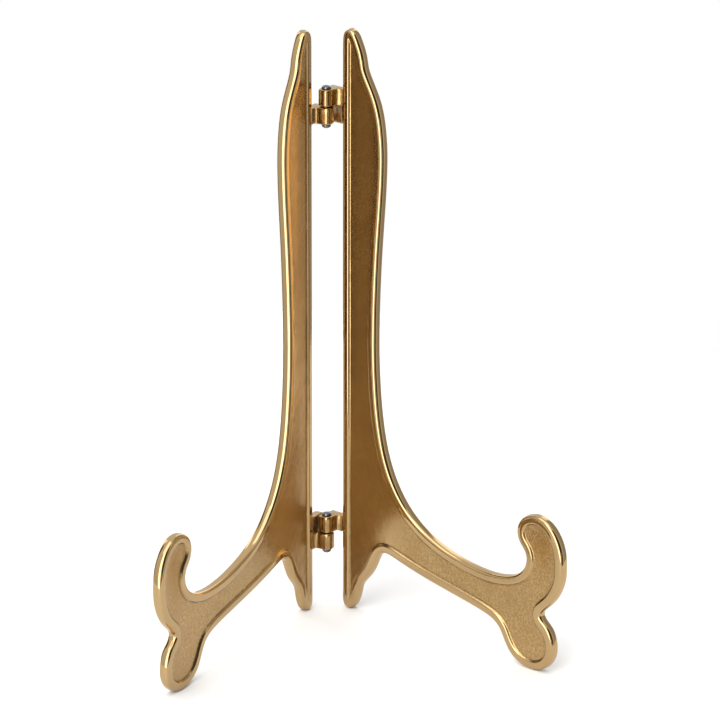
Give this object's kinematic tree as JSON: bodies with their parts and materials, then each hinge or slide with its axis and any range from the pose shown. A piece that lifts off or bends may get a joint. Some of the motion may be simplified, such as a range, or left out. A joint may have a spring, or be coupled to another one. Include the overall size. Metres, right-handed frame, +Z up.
{
  "type": "folding album stand",
  "caption": "Folding cast brass stand with hooked arms that holds an album or plate upright; the leaves open like a book on riveted hinges.",
  "frame": {"origin": "on the floor under the middle of the open stand's box", "axes": "+Z up, -Y to the front where the hooks are, +X to the right seen from the front"},
  "size_m": [0.1604, 0.0982, 0.24],
  "materials": {
    "leaf_brass": "polished rims, fine satin cast webs",
    "lug_brass": "polished",
    "pin_steel": "dark polished steel"
  },
  "bodies": {
    "left_half": {"left_leaf": "leaf_brass", "upper_left_lug": "lug_brass", "lower_left_lug": "lug_brass", "upper_hinge_pin": "pin_steel", "lower_hinge_pin": "pin_steel"},
    "right_half": {"right_leaf": "leaf_brass", "upper_right_lug": "lug_brass", "lower_right_lug": "lug_brass"}
  },
  "joints": [
    {"name": "leaf_fold", "type": "hinge", "parent": "left_half", "child": "right_half", "pos_m": [0, 0.04256, 0.12], "axis": [0, 0, 1], "range_deg": [-77.2, 18]}
  ]
}
